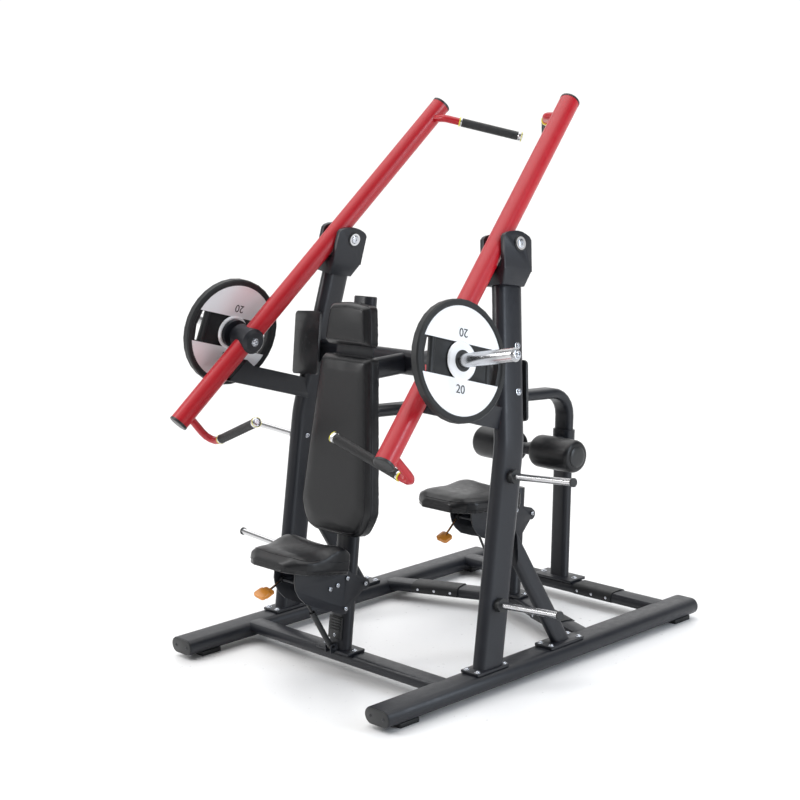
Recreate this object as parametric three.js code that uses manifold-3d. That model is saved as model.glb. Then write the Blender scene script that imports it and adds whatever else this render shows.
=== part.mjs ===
// Dual-station plate-loaded machine: seated chest press in front, lat pulldown behind.
// Millimetres, +X to the machine's left-right, -Y towards the chest press user, +Z up.
import * as THREE from 'three';
import Module from 'manifold-3d';

const wasm = await Module();
wasm.setup();

// ---------------------------------------------------------------- driving dimensions
const GAP = 0.3; // clearance between pieces that touch
const RUN = 0.25; // radial clearance of running fits

const RAIL = { x: 577.5, w: 126, t: 62, half: 813.5, foot: 18 };
const DECK = RAIL.foot + RAIL.t; // top of the base tubes
const MID = RAIL.foot + RAIL.t / 2; // centre height of the rails
const FOOT = { w: 86, l: 90, front: -705, rear: 744 };
const CROSS = { w: 88, t: 43 }; // section of every cross tube and of the arch
const CROSS_Z = DECK - CROSS.t / 2; // centre height of the cross tubes
const FRONT_CROSS_Y = -482;
const REAR_CROSS_Y = 694;
const CHEVRON = { yCentre: 425, yEnd: 250 };
const TREAD = { t: 4, half: 102, chevronX: 325, rearX: 226 };
const PLATE_T = 10; // base plates and flanges

const POST = { w: 120, t: 60, footY: -295.5, bendR: 420 };
const BRACE = { w: 72, t: 46, footY: 92, topZ: 520, slope: 0.545 };
const PIVOT = new THREE.Vector3(455, 22, 1557);
const PIVOT_AXIS = new THREE.Vector3(0.98517, 0.04278, 0.16614).normalize();
const CLEVIS = { inner: 42, outer: 60, front: -80, rear: 60, top: 45, knee: -97, foot: -150 };
const PIN = { r: 15, headR: 24, head: 6 };

const ARM = {
  bottom: new THREE.Vector3(596, -737.5, 916),
  top: new THREE.Vector3(353, 480.5, 2046),
  r: 37.5,
  sleeveR: 29,
};
const HORN = { s: 424, bossR: 50, bossIn: 50, flange: 100, flangeR: 56, r: 24, end: 378, tipR: 17 };
const WEIGHT = { r: 212, discR: 191, t: 34, hub: 62, bore: 24.8, tilt: -17.5 };
const HANDLE_R = 15;
const GRIP = { r: 17, capR: 19, cap: 12 };

const STOP = { x: 554, t: 42, bumper: 9 };
const BEAM = { z: 1108, w: 96, t: 50, y: -89 };
const PEG = { r: 12.5, collarR: 25, collar: 24, capR: 16, end: 908, rise: 22, z: [311, 762] };

const MAST = { w: 100, t: 56, footY: -493, slope: 0.17, top: 1385 };
const REAR_MAST = { footY: 403, slope: 0.12, top: 520 };
const BACK_PAD = { t: 64, bevel: 22 };
const SEAT = {
  front: { originZ: 350, pitch: 12, half: 172, padStart: 100, padEnd: 380, wing: 52, wingAt: 172, lever: [334, -60] },
  rear: { originZ: 427, pitch: 6, half: 165, padStart: 85, padEnd: 432, wing: 22, wingAt: 150, lever: [338, -86] },
};
const ARCH = { footY: 700, bendY: 774, bendZ: 857, r: 98, frontZ: 957 };
const ROLLER = { y: 545, z: 657, r: 62, from: 60, to: 268, shaftR: 12.5 };

// ---------------------------------------------------------------- small vector helpers
const V = (x, y, z) => new THREE.Vector3(x, y, z);
const X = V(1, 0, 0);
const Y = V(0, 1, 0);
const Z = V(0, 0, 1);
const along = (o, ...terms) => {
  const p = o.clone();
  for (let i = 0; i < terms.length; i += 2) p.addScaledVector(terms[i], terms[i + 1]);
  return p;
};
const lerp = (a, b, t) => a.clone().lerp(b, t);

// ---------------------------------------------------------------- sections (counter-clockwise)
function circle(r, n = 20) {
  return Array.from({ length: n }, (_, i) => {
    const a = (i / n) * 2 * Math.PI;
    return [r * Math.cos(a), r * Math.sin(a)];
  });
}

function stadium(w, t, n = 8) {
  const r = t / 2;
  const s = w / 2 - r;
  const pts = [];
  for (let i = 0; i <= n; i++) {
    const a = -Math.PI / 2 + (i / n) * Math.PI;
    pts.push([s + r * Math.cos(a), r * Math.sin(a)]);
  }
  for (let i = 0; i <= n; i++) {
    const a = Math.PI / 2 + (i / n) * Math.PI;
    pts.push([-s + r * Math.cos(a), r * Math.sin(a)]);
  }
  return pts;
}

function roundRect(w, h, r, n = 4) {
  const pts = [];
  const corners = [[1, -1, -90], [1, 1, 0], [-1, 1, 90], [-1, -1, 180]];
  for (const [sx, sy, start] of corners) {
    for (let i = 0; i <= n; i++) {
      const a = THREE.MathUtils.degToRad(start + (i / n) * 90);
      pts.push([sx * (w / 2 - r) + r * Math.cos(a), sy * (h / 2 - r) + r * Math.sin(a)]);
    }
  }
  return pts;
}

// ---------------------------------------------------------------- solids
function toSolid(positions, triangles) {
  return new wasm.Manifold(new wasm.Mesh({
    numProp: 3,
    vertProperties: new Float32Array(positions),
    triVerts: new Uint32Array(triangles),
  }));
}

// Stations are {o, x, y, pts}; x cross y points along the loft. Star-shaped ends are
// closed by a fan about their centre, other outlines are triangulated.
function loft(stations, star = true) {
  const n = stations[0].pts.length;
  const positions = [];
  const triangles = [];
  const reverse = THREE.ShapeUtils.area(stations[0].pts.map(([a, b]) => ({ x: a, y: b }))) < 0;
  for (const { o, x, y, pts } of stations) {
    for (const [a, b] of reverse ? pts.slice().reverse() : pts) {
      const p = along(o, x, a, y, b);
      positions.push(p.x, p.y, p.z);
    }
  }
  for (let k = 0; k < stations.length - 1; k++) {
    for (let i = 0; i < n; i++) {
      const j = (i + 1) % n;
      const [a, b, c, d] = [k * n + i, k * n + j, (k + 1) * n + i, (k + 1) * n + j];
      triangles.push(a, b, d, a, d, c);
    }
  }
  const last = (stations.length - 1) * n;
  if (star) {
    for (const [first, flip] of [[0, true], [last, false]]) {
      const hub = positions.length / 3;
      for (let c = 0; c < 3; c++) {
        let sum = 0;
        for (let i = 0; i < n; i++) sum += positions[(first + i) * 3 + c];
        positions.push(sum / n);
      }
      for (let i = 0; i < n; i++) {
        const [a, b] = [first + i, first + ((i + 1) % n)];
        triangles.push(hub, flip ? b : a, flip ? a : b);
      }
    }
  } else {
    const ends = stations[0].pts.map((p) => new THREE.Vector2(...p));
    if (reverse) ends.reverse();
    for (const [a, b, c] of THREE.ShapeUtils.triangulateShape(ends, [])) {
      triangles.push(c, b, a, last + a, last + b, last + c);
    }
  }
  return toSolid(positions, triangles);
}

function basis(direction, side) {
  const z = direction.clone().normalize();
  const x = side.clone().addScaledVector(z, -side.dot(z)).normalize();
  return { x, y: z.clone().cross(x), z };
}

function bar(a, b, section, side = Math.abs(b.z - a.z) > 1 ? X : Z) {
  const { x, y } = basis(b.clone().sub(a), side);
  return loft([{ o: a, x, y, pts: section }, { o: b, x, y, pts: section }]);
}

const rod = (a, b, r, n = 24) => bar(a, b, circle(r, n), basisSide(b.clone().sub(a)));
const basisSide = (d) => (Math.abs(d.x) > 0.9 * d.length() ? Y : X);

// Polyline with rounded corners, as points and tangents.
function bend(points, radius, steps = 6) {
  const path = [{ p: points[0], t: points[1].clone().sub(points[0]).normalize() }];
  for (let i = 1; i < points.length - 1; i++) {
    const t0 = points[i].clone().sub(points[i - 1]).normalize();
    const t1 = points[i + 1].clone().sub(points[i]).normalize();
    const angle = t0.angleTo(t1);
    const centre = along(points[i], t1.clone().sub(t0).normalize(), radius / Math.cos(angle / 2));
    const axis = t0.clone().cross(t1).normalize();
    const start = along(points[i], t0, -radius * Math.tan(angle / 2));
    for (let k = 0; k <= steps; k++) {
      const a = (k / steps) * angle;
      path.push({
        p: start.clone().sub(centre).applyAxisAngle(axis, a).add(centre),
        t: t0.clone().applyAxisAngle(axis, a),
      });
    }
  }
  const end = points.at(-1);
  path.push({ p: end, t: end.clone().sub(points.at(-2)).normalize() });
  return path;
}

// Section swept along a bent path; the section's x axis is carried along without twist.
function sweep(points, radius, section, side, steps = 6) {
  let x = side;
  return loft(bend(points, radius, steps).map(({ p, t }) => {
    const frame = basis(t, x);
    x = frame.x;
    return { o: p, x, y: frame.y, pts: section };
  }));
}

function prism(outline, o, x, y, from, to) {
  const z = x.clone().cross(y);
  return loft([from, to].map((d) => ({ o: along(o, z, d), x, y, pts: outline })), false);
}

const block = (o, x, y, w, h, from, to, r = 2) => prism(roundRect(w, h, r, 2), o, x, y, from, to);

// Surface of revolution about an axis from a closed [distance, radius] outline.
function turned(o, axis, outline, n = 32) {
  const { x, y } = basis(axis, basisSide(axis));
  const m = outline.length;
  const positions = [];
  const triangles = [];
  for (let i = 0; i < n; i++) {
    const a = (i / n) * 2 * Math.PI;
    for (const [d, r] of outline) {
      const p = along(o, axis, d, x, r * Math.cos(a), y, r * Math.sin(a));
      positions.push(p.x, p.y, p.z);
    }
  }
  for (let i = 0; i < n; i++) {
    for (let k = 0; k < m; k++) {
      const [a, b] = [i * m + k, ((i + 1) % n) * m + k];
      const [c, d] = [i * m + ((k + 1) % m), ((i + 1) % n) * m + ((k + 1) % m)];
      triangles.push(a, b, d, a, d, c);
    }
  }
  return toSolid(positions, triangles);
}

const union = (...s) => s.reduce((a, b) => a.add(b));
const cut = (s, ...tools) => tools.reduce((a, b) => a.subtract(b), s);

// ---------------------------------------------------------------- scene assembly
const group = new THREE.Group();
group.name = 'chest_press_and_pulldown_machine';
const COLOURS = {
  frame: [0x303135, 0.45, 0.3], red: [0xbe2632, 0.3, 0.1], rubber: [0x1c1d1f, 0.85, 0],
  pad: [0x191a1d, 0.6, 0], chrome: [0xc9cbce, 0.18, 1], disc: [0xd8dade, 0.35, 0.6],
  grip: [0x1a1a1b, 0.8, 0], amber: [0xd68628, 0.45, 0], plastic: [0x222326, 0.6, 0],
};

function add(name, solid, colour) {
  const { vertProperties, triVerts } = solid.getMesh();
  const geometry = new THREE.BufferGeometry();
  geometry.setAttribute('position', new THREE.BufferAttribute(new Float32Array(vertProperties), 3));
  geometry.setIndex(new THREE.BufferAttribute(new Uint32Array(triVerts), 1));
  geometry.computeVertexNormals();
  const [color, roughness, metalness] = COLOURS[colour];
  const mesh = new THREE.Mesh(geometry, new THREE.MeshStandardMaterial({ color, roughness, metalness }));
  mesh.name = name;
  group.add(mesh);
}

const mirrored = (solid) => solid.mirror([1, 0, 0]);
function addPair(name, solid, colour) {
  add(`right_${name}`, solid, colour);
  add(`left_${name}`, mirrored(solid), colour);
}

// ---------------------------------------------------------------- base
const railSection = stadium(RAIL.w, RAIL.t);
const rail = bar(V(RAIL.x, -RAIL.half, MID), V(RAIL.x, RAIL.half, MID), railSection, X);
const railTool = bar(V(RAIL.x, -900, MID), V(RAIL.x, 900, MID), stadium(RAIL.w + 2 * GAP, RAIL.t + 2 * GAP), X);
addPair('base_rail', rail, 'frame');
for (const [where, y] of [['front', FOOT.front], ['rear', FOOT.rear]]) {
  addPair(`${where}_foot`, block(V(RAIL.x, y, 0), X, Y, FOOT.w, FOOT.l, 0, RAIL.foot - GAP, 6), 'rubber');
}

const betweenRails = (solid) => cut(solid, railTool, mirrored(railTool));
const crossSection = (extra = 0) => stadium(CROSS.w + 2 * extra, CROSS.t + 2 * extra);
const crossTube = (y) =>
  betweenRails(bar(V(-RAIL.x, y, CROSS_Z), V(RAIL.x, y, CROSS_Z), crossSection(), Y));
add('front_cross_tube', crossTube(FRONT_CROSS_Y), 'frame');
add('rear_cross_tube', crossTube(REAR_CROSS_Y), 'frame');

// The chevron's halves run from the rails back to the rear mast.
const chevronSlope = (CHEVRON.yCentre - CHEVRON.yEnd) / 514;
const chevronY = (x) => CHEVRON.yCentre - chevronSlope * Math.abs(x);
const chevronHalf =
  bar(V(-12, chevronY(0) + 4, CROSS_Z), V(RAIL.x, chevronY(RAIL.x), CROSS_Z), crossSection(), Y);
const chevron = union(chevronHalf, mirrored(chevronHalf));
add('chevron_cross_tube', betweenRails(chevron), 'frame');

// Rubber treads wrap the top and the front face of the cross tubes.
function tread(from, to) {
  const length = to.clone().sub(from).normalize();
  const back = basis(length, Y).x;
  const start = along(from, length, -5);
  const inner = bar(start, along(to, length, 5), crossSection(GAP), Y);
  const [w, h] = [CROSS.w, CROSS.t];
  const outside = prism(
    [[-w, -h], [w, -h], [w, h / 2 - 5], [-w / 2 + 12, h / 2 - 5], [-w / 2 + 12, -h / 2 + 5], [-w, -h / 2 + 5]],
    start, back, Z, -400, 400);
  return cut(bar(from, to, crossSection(TREAD.t), Y), inner, outside);
}

for (const [name, y, x] of [
  ['chevron_tread', chevronY, TREAD.chevronX],
  ['rear_tread', () => REAR_CROSS_Y, TREAD.rearX],
]) {
  const [a, b] = [x - TREAD.half, x + TREAD.half].map((at) => V(at, y(at), CROSS_Z));
  addPair(name, tread(a, b), 'rubber');
}

// ---------------------------------------------------------------- clevis frame of the right arm
const n = PIVOT_AXIS;
const d = ARM.top.clone().sub(ARM.bottom).normalize();
n.addScaledVector(d, -n.dot(d)).normalize();
const offset = n.clone().cross(d); // from the pivot towards the arm tube's axis
const u = V(-0.178, 0.2153, 1);
u.addScaledVector(n, -u.dot(n)).normalize(); // up the post's top section
const v = u.clone().cross(n).multiplyScalar(1); // towards the rear
if (v.y < 0) v.negate();
const clevisAt = (a, b, c) => along(PIVOT, n, a, v, b, u, c);
const nv = { x: n, y: v }; // n cross v points up
const clevisUp = n.clone().cross(v);
const up = clevisUp.dot(u) > 0 ? 1 : -1;

// ---------------------------------------------------------------- posts and braces
const postTop = clevisAt(0, -10, CLEVIS.foot - GAP);
const bendL = (RAIL.x - postTop.x) / -u.x;
const postBend = along(postTop, u, -bendL);
const postFoot = V(RAIL.x, POST.footY, DECK + GAP);
const postSide = postBend.clone().sub(postFoot).cross(postTop.clone().sub(postBend)).normalize();
const postSweep = (extra) => sweep(
  [along(postFoot, Z, -30), postBend, along(postTop, u, extra)],
  POST.bendR, stadium(POST.w + 2 * extra, POST.t + 2 * extra), postSide, 8);
const basePlate = (x, y, w, l) => block(V(x, y, DECK + GAP), X, Y, w, l, 0, PLATE_T, 5);
const aboveDeck = (solid) => cut(solid, block(V(0, 0, DECK - 60), X, Y, 2000, 2000, 0, 60 + GAP));
const post = union(aboveDeck(postSweep(0)), basePlate(RAIL.x, -301, 90, 158));
const postTool = postSweep(GAP);
addPair('post', post, 'frame');

const braceFoot = V(RAIL.x, BRACE.footY, DECK + GAP);
const braceTop = V(RAIL.x, BRACE.footY - BRACE.slope * (BRACE.topZ - DECK), BRACE.topZ);
const brace = union(
  cut(
    bar(along(braceFoot, Z, -20, Y, 11), along(braceTop, Z, 90, Y, -49), stadium(BRACE.w, BRACE.t), Y),
    postTool,
    block(V(RAIL.x, 0, 0), X, Y, 400, 1200, 0, DECK + GAP),
    block(V(RAIL.x, -435, 0), X, Y, 400, 600, 0, 900),
  ).decompose().sort((a, b) => b.volume() - a.volume())[0],
  basePlate(RAIL.x, 85, 88, 176),
);
addPair('brace', brace, 'frame');

// ---------------------------------------------------------------- clevises and pivot pins
const earOutline = [
  [CLEVIS.front, CLEVIS.knee], [CLEVIS.front, 18], [CLEVIS.front + 9, 30], [CLEVIS.front + 26, 38],
  [-30, 43], [-8, CLEVIS.top], [14, 43], [34, 37], [CLEVIS.rear - 9, 29], [CLEVIS.rear, 18],
  [CLEVIS.rear, CLEVIS.knee],
];
const ear = (from, to) => {
  const flip = v.clone().cross(u).dot(n) > 0;
  const pts = flip ? earOutline.slice().reverse() : earOutline.map(([a, b]) => [a, b]).reverse();
  return prism(pts, PIVOT, v, u, flip ? from : -to, flip ? to : -from);
};
const clevisRing = (c, w, front, rear) => ({
  o: clevisAt(0, (front + rear) / 2, c), x: n, y: up > 0 ? v : v.clone().negate(),
  pts: roundRect(w, rear - front, 7, 2),
});
const clevisBlock = loft([
  clevisRing(CLEVIS.foot, 92, CLEVIS.front + 4, 38),
  clevisRing(CLEVIS.knee, 2 * CLEVIS.outer, CLEVIS.front, CLEVIS.rear),
  clevisRing(CLEVIS.knee + 12, 2 * CLEVIS.outer, CLEVIS.front, CLEVIS.rear),
]);
const armClear = rod(along(ARM.bottom, d, 600), along(ARM.top, d, -200), ARM.r + 4, 16);
const pinAt = (a) => along(PIVOT, n, a);
const pinBore = rod(pinAt(-90), pinAt(90), PIN.r + RUN, 24);
const sleeveClear = rod(pinAt(-CLEVIS.inner), pinAt(CLEVIS.inner), ARM.sleeveR + 5, 16);
const clevis = cut(
  union(clevisBlock, ear(CLEVIS.inner, CLEVIS.outer), ear(-CLEVIS.outer, -CLEVIS.inner)),
  pinBore, armClear, sleeveClear,
);
addPair('clevis', clevis, 'frame');

const pin = union(
  rod(pinAt(-CLEVIS.outer - 4), pinAt(CLEVIS.outer + 4), PIN.r, 24),
  rod(pinAt(CLEVIS.outer + GAP), pinAt(CLEVIS.outer + PIN.head), PIN.headR, 24),
  rod(pinAt(-CLEVIS.outer - PIN.head), pinAt(-CLEVIS.outer - GAP), PIN.headR, 24),
);
addPair('pivot_pin', pin, 'chrome');

// ---------------------------------------------------------------- arms with their handle stems
const armAt = (s) => along(ARM.bottom, d, s);
const lowerGrip = { root: V(520, -602.5, 837), end: V(219, -645.5, 948) };
const upperGrip = { root: V(240, 468.5, 1978), end: V(66, 646, 1905) };
const stem = (start, corner, { root, end }, radius) => {
  const dir = end.clone().sub(root).normalize();
  return union(
    sweep([start, corner, root], radius, circle(HANDLE_R, 12), Y, 4),
    rod(along(root, dir, -1), along(root, dir, 22), 11, 16),
  );
};
const backFrom = ({ root, end }, length) => along(root, end.clone().sub(root).normalize(), -length);
const armTube = rod(armAt(0), armAt(ARM.top.distanceTo(ARM.bottom)), ARM.r, 28);
const hornAxis = (a) => along(armAt(HORN.s), n, a);
const arm = cut(
  union(
    armTube,
    rod(pinAt(-CLEVIS.inner + 2), pinAt(CLEVIS.inner - 2), ARM.sleeveR, 24),
    stem(armAt(48), backFrom(lowerGrip, 82), lowerGrip, 44),
    stem(armAt(1602), backFrom(upperGrip, 58), upperGrip, 34),
  ),
  rod(pinAt(-90), pinAt(90), PIN.r + RUN, 24),
  rod(hornAxis(-90), hornAxis(90), HORN.r + GAP, 24),
);
addPair('arm', arm, 'red');

for (const [name, { root, end }] of [['lower_grip', lowerGrip], ['upper_grip', upperGrip]]) {
  const axis = end.clone().sub(root).normalize();
  const length = end.distanceTo(root);
  const grip = cut(
    rod(along(root, axis, GAP), along(root, axis, length), GRIP.r, 24),
    rod(along(root, axis, -5), along(root, axis, 22 + GAP), 11 + GAP, 24),
  );
  addPair(name, grip, 'grip');
}

// Loading horn: core through the arm, capped boss inboard, flange and bar outboard.
const saddle = rod(armAt(HORN.s - 120), armAt(HORN.s + 120), ARM.r + 1, 16);
const boss = cut(
  union(
    turned(hornAxis(0), n, [[-HORN.bossIn, 1], [-HORN.bossIn, 38], [-HORN.bossIn + 12, HORN.bossR],
      [HORN.bossIn, HORN.bossR], [HORN.bossIn, 1]], 20),
    rod(hornAxis(0), hornAxis(HORN.flange - 22), 34, 16),
  ),
  saddle,
);
const horn = union(
  rod(hornAxis(-HORN.bossIn + 1), hornAxis(HORN.flange), 22 - GAP, 20),
  ...boss.decompose(),
  rod(hornAxis(HORN.flange - 22), hornAxis(HORN.flange), HORN.flangeR, 24),
  rod(hornAxis(0), hornAxis(HORN.end), HORN.r, 24),
  rod(hornAxis(HORN.end - 1), hornAxis(HORN.end + 9), HORN.tipR, 20),
);
addPair('loading_horn', horn, 'chrome');

// Plate with a stepped rubber rim, and a recess, a grip bar and a hand slot on either side.
const weightOutline = [
  [0, WEIGHT.bore], [0, WEIGHT.hub], [5, WEIGHT.hub + 5], [5, WEIGHT.discR - 3], [0, WEIGHT.discR + 2],
  [0, WEIGHT.r - 5], [5, WEIGHT.r], [WEIGHT.t - 5, WEIGHT.r], [WEIGHT.t, WEIGHT.r - 5],
  [WEIGHT.t, WEIGHT.discR + 2], [WEIGHT.t - 5, WEIGHT.discR - 3], [WEIGHT.t - 5, WEIGHT.hub + 5],
  [WEIGHT.t, WEIGHT.hub], [WEIGHT.t, WEIGHT.bore],
];
const plateOrigin = hornAxis(HORN.flange + GAP);
const tilt = THREE.MathUtils.degToRad(WEIGHT.tilt);
const plateY = along(Y, n, -n.y).normalize().applyAxisAngle(n, tilt);
const plateZ = n.clone().cross(plateY);
// Region of the band |across| < 60 between a hub arc (or a straight inner edge) and the rim.
function windowOutline(inner) {
  const [r, h] = [176, 60];
  const edge = Math.asin(h / r);
  const pts = [-1, 0, 1].map((k) => [r * Math.cos(k * edge), r * Math.sin(k * edge)]);
  const start = Math.asin(h / inner);
  const back = inner < 100
    ? [1, 0.5, 0, -0.5, -1].map((k) => [inner * Math.cos(k * start), inner * Math.sin(k * start)])
    : [[inner, h], [inner, -h]];
  return [...pts, ...back];
}
const windowTools = [1, -1].flatMap((side) => {
  const x = plateY.clone().multiplyScalar(side);
  const y = plateZ.clone().multiplyScalar(side);
  const recess = windowOutline(WEIGHT.hub + 6);
  return [
    prism(recess, plateOrigin, x, y, -1, 12),
    prism(recess, plateOrigin, x, y, WEIGHT.t - 12, WEIGHT.t + 1),
    prism(windowOutline(146), plateOrigin, x, y, 0, WEIGHT.t),
  ];
});
const gripBars = [1, -1].map((side) => {
  const c = along(plateOrigin, n, WEIGHT.t / 2, plateY, side * 133);
  return rod(along(c, plateZ, -62), along(c, plateZ, 62), 13, 10);
});
const weight = union(cut(turned(plateOrigin, n, weightOutline, 32), ...windowTools), ...gripBars);
addPair('weight_plate', weight, 'rubber');

// ---------------------------------------------------------------- stop arms and bumpers
const stopOutline = [[-150, 924], [-150, 1006], [-412, 1094], [-440, 1122], [-533, 1053]];
const stopShape = prism(stopOutline.slice().reverse(), V(STOP.x - STOP.t / 2, 0, 0), Y, Z, 0, STOP.t);
const stopArm = cut(stopShape, postTool).decompose().sort((a, b) => b.volume() - a.volume())[0];
addPair('stop_arm', stopArm, 'frame');
const faceA = V(STOP.x, -440, 1122);
const faceB = V(STOP.x, -533, 1053);
const faceDir = faceA.clone().sub(faceB).normalize();
const faceOut = faceDir.clone().cross(X);
if (faceOut.z < 0) faceOut.negate();
const armTool = rod(armAt(100), armAt(700), ARM.r + GAP, 28);
const bumper = cut(
  prism(roundRect(90, 38, 5, 2), along(lerp(faceA, faceB, 0.5), faceOut, GAP), faceDir, X.clone().multiplyScalar(
    faceDir.clone().cross(X).dot(faceOut) > 0 ? 1 : -1), 0, 24),
  armTool,
).decompose().sort((a, b) => a.boundingBox().min[2] - b.boundingBox().min[2])[0];
addPair('bumper', bumper, 'rubber');

// ---------------------------------------------------------------- cross beam with end flanges
const beamEnd = 640;
const beam = cut(
  union(
    bar(V(-beamEnd, BEAM.y, BEAM.z), V(beamEnd, BEAM.y, BEAM.z), stadium(BEAM.w, BEAM.t), Z),
  ),
  postTool, mirrored(postTool),
).decompose().sort((a, b) => b.volume() - a.volume())[0];
add('cross_beam', beam, 'frame');

// ---------------------------------------------------------------- storage pegs
PEG.z.forEach((z, i) => {
  const t = (z - postFoot.z) / (postBend.z - postFoot.z);
  const c = lerp(postFoot, postBend, t);
  const dir = V(PEG.end - c.x, 0, PEG.rise).normalize();
  const length = (PEG.end - c.x) / dir.x;
  const peg = cut(
    union(
      rod(along(c, dir, 10), along(c, dir, POST.t / 2 + PEG.collar), PEG.collarR, 24),
      rod(c, along(c, dir, length), PEG.r, 20),
      rod(along(c, dir, length - 7), along(c, dir, length), PEG.capR, 20),
    ),
    postTool,
  ).decompose().sort((a, b) => b.volume() - a.volume())[0];
  addPair(i ? 'upper_peg' : 'lower_peg', peg, 'chrome');
});

// ---------------------------------------------------------------- placards
function placard(o, x, y, w, h) {
  const pts = roundRect(w, h, 14, 4).map(([a, b]) => [a, b + (b > 0 ? 10 * (1 - (2 * a / w) ** 2) : 0)]);
  return prism(pts, o, x, y, 0, 10);
}
const placards = [
  { name: 'front_placard', at: V(-516, -150, 1149), up: V(-0.06, 0.2, 0.98), out: V(0, -1, 0.2), h: 248 },
  { name: 'rear_placard', at: V(490, -27, 1035), up: V(0.15, 0.2, 0.97).reflect(X), out: V(0, 1, -0.2), h: 216 },
];
for (const { name, at, up, out, h } of placards) {
  const side = up.clone().cross(out).normalize();
  const y = out.clone().normalize().cross(side);
  add(name, cut(placard(at, side, y, 155, h), postTool, mirrored(postTool)), 'plastic');
}

// ---------------------------------------------------------------- masts
function mastFrame(footY, slope) {
  const m = V(0, slope, 1).normalize();
  return { o: V(0, footY, DECK), m, f: V(0, -m.z, m.y), at: (x, f, s) => along(V(0, footY, DECK), X, x, V(0, -m.z, m.y), f, m, s) };
}
const front = mastFrame(MAST.footY, MAST.slope);
const rear = mastFrame(REAR_MAST.footY, REAR_MAST.slope);
const mastBar = (frame, s1, extra = 0) => bar(
  along(frame.o, frame.m, GAP + 1), along(frame.o, frame.m, s1), stadium(MAST.w + 2 * extra, MAST.t + 2 * extra), X);
const strutLug = (frame) => {
  const o = V(0, frame.o.y - 44, DECK + GAP);
  return [-18, 12].map((x) =>
    prism([[-16, 0], [30, 0], [30, 20], [10, 34], [-10, 34], [-16, 24]], V(x, o.y, o.z), Y, Z, 0, 6));
};
const lugHole = (frame) => rod(V(-40, frame.o.y - 46, DECK + 23), V(40, frame.o.y - 46, DECK + 23), 5 + GAP, 16);

// The spine and the beam link are welded behind the back pad's mast.
const linkZ = BEAM.z;
const linkY = MAST.footY + MAST.slope * (linkZ - DECK);
const link = cut(
  bar(V(0, linkY, linkZ), V(0, BEAM.y, linkZ), stadium(80, 44), Z),
  bar(V(-200, BEAM.y, BEAM.z), V(200, BEAM.y, BEAM.z), stadium(BEAM.w + 2 * GAP, BEAM.t + 2 * GAP), Z),
).decompose().sort((a, b) => a.boundingBox().min[1] - b.boundingBox().min[1])[0];
const frontMast = aboveDeck(cut(
  union(
    bar(along(front.o, front.m, -20), along(front.o, front.m, 1318), stadium(MAST.w, MAST.t), X),
    basePlate(0, MAST.footY, 190, 84),
    ...strutLug(front),
    link,
  ),
  lugHole(front),
));
add('front_mast', frontMast, 'frame');
const rearMast = aboveDeck(cut(
  union(
    bar(along(rear.o, rear.m, -20), along(rear.o, rear.m, 440), stadium(MAST.w, MAST.t), X),
    basePlate(0, REAR_MAST.footY + 5, 190, 84),
    ...strutLug(rear),
  ),
  lugHole(rear),
));
add('rear_mast', rearMast, 'frame');

// ---------------------------------------------------------------- arch
const frontTool = bar(along(front.o, front.m, 0), along(front.o, front.m, 1400),
  stadium(MAST.w + 2 * GAP, MAST.t + 2 * GAP), X);
const archFoot = V(0, ARCH.footY, DECK + GAP);
const archFrontY = MAST.footY + MAST.slope * (ARCH.frontZ - DECK);
const arch = union(
  cut(
    sweep([along(archFoot, Z, 3), V(0, ARCH.bendY, ARCH.bendZ), V(0, archFrontY, ARCH.frontZ)],
      ARCH.r, crossSection(), X, 6),
    frontTool,
  ).decompose().sort((a, b) => b.volume() - a.volume())[0],
  block(V(0, ARCH.footY - 2, DECK + GAP), X, Y, 214, 92, 0, PLATE_T, 5),
);
add('rear_arch', arch, 'frame');

// ---------------------------------------------------------------- thigh rollers
const legY = (z) => ARCH.footY + ((ARCH.bendY - ARCH.footY) * (z - DECK)) / (ARCH.bendZ - DECK);
const collarUp = V(0, ARCH.bendY - ARCH.footY, ARCH.bendZ - DECK).normalize();
const collarBack = V(0, collarUp.z, -collarUp.y);
const collarAt = V(0, legY(ROLLER.z), ROLLER.z);
const shaft = (a, b, r) => rod(V(a, ROLLER.y, ROLLER.z), V(b, ROLLER.y, ROLLER.z), r, 32);
const carrier = union(
  cut(
    prism(stadium(CROSS.w + 14, CROSS.t + 14), collarAt, X, collarBack, -44, 44),
    prism(crossSection(0.6), collarAt, X, collarBack, -60, 60),
  ),
  bar(V(0, legY(ROLLER.z) - CROSS.t / 2 - 4, ROLLER.z), V(0, ROLLER.y, ROLLER.z), roundRect(54, 40, 8, 3), X),
  shaft(-ROLLER.to - 4, ROLLER.to + 4, ROLLER.shaftR),
  shaft(-40, 40, 24),
);
add('roller_carrier', carrier, 'frame');
const roller = turned(V(ROLLER.from, ROLLER.y, ROLLER.z), X, [
  [0, ROLLER.shaftR + 2 * RUN], [0, ROLLER.r - 12], [4, ROLLER.r - 4], [12, ROLLER.r],
  [ROLLER.to - ROLLER.from - 12, ROLLER.r], [ROLLER.to - ROLLER.from - 4, ROLLER.r - 4],
  [ROLLER.to - ROLLER.from, ROLLER.r - 12], [ROLLER.to - ROLLER.from, ROLLER.shaftR + 2 * RUN],
], 26);
addPair('thigh_roller', roller, 'pad');

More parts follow.
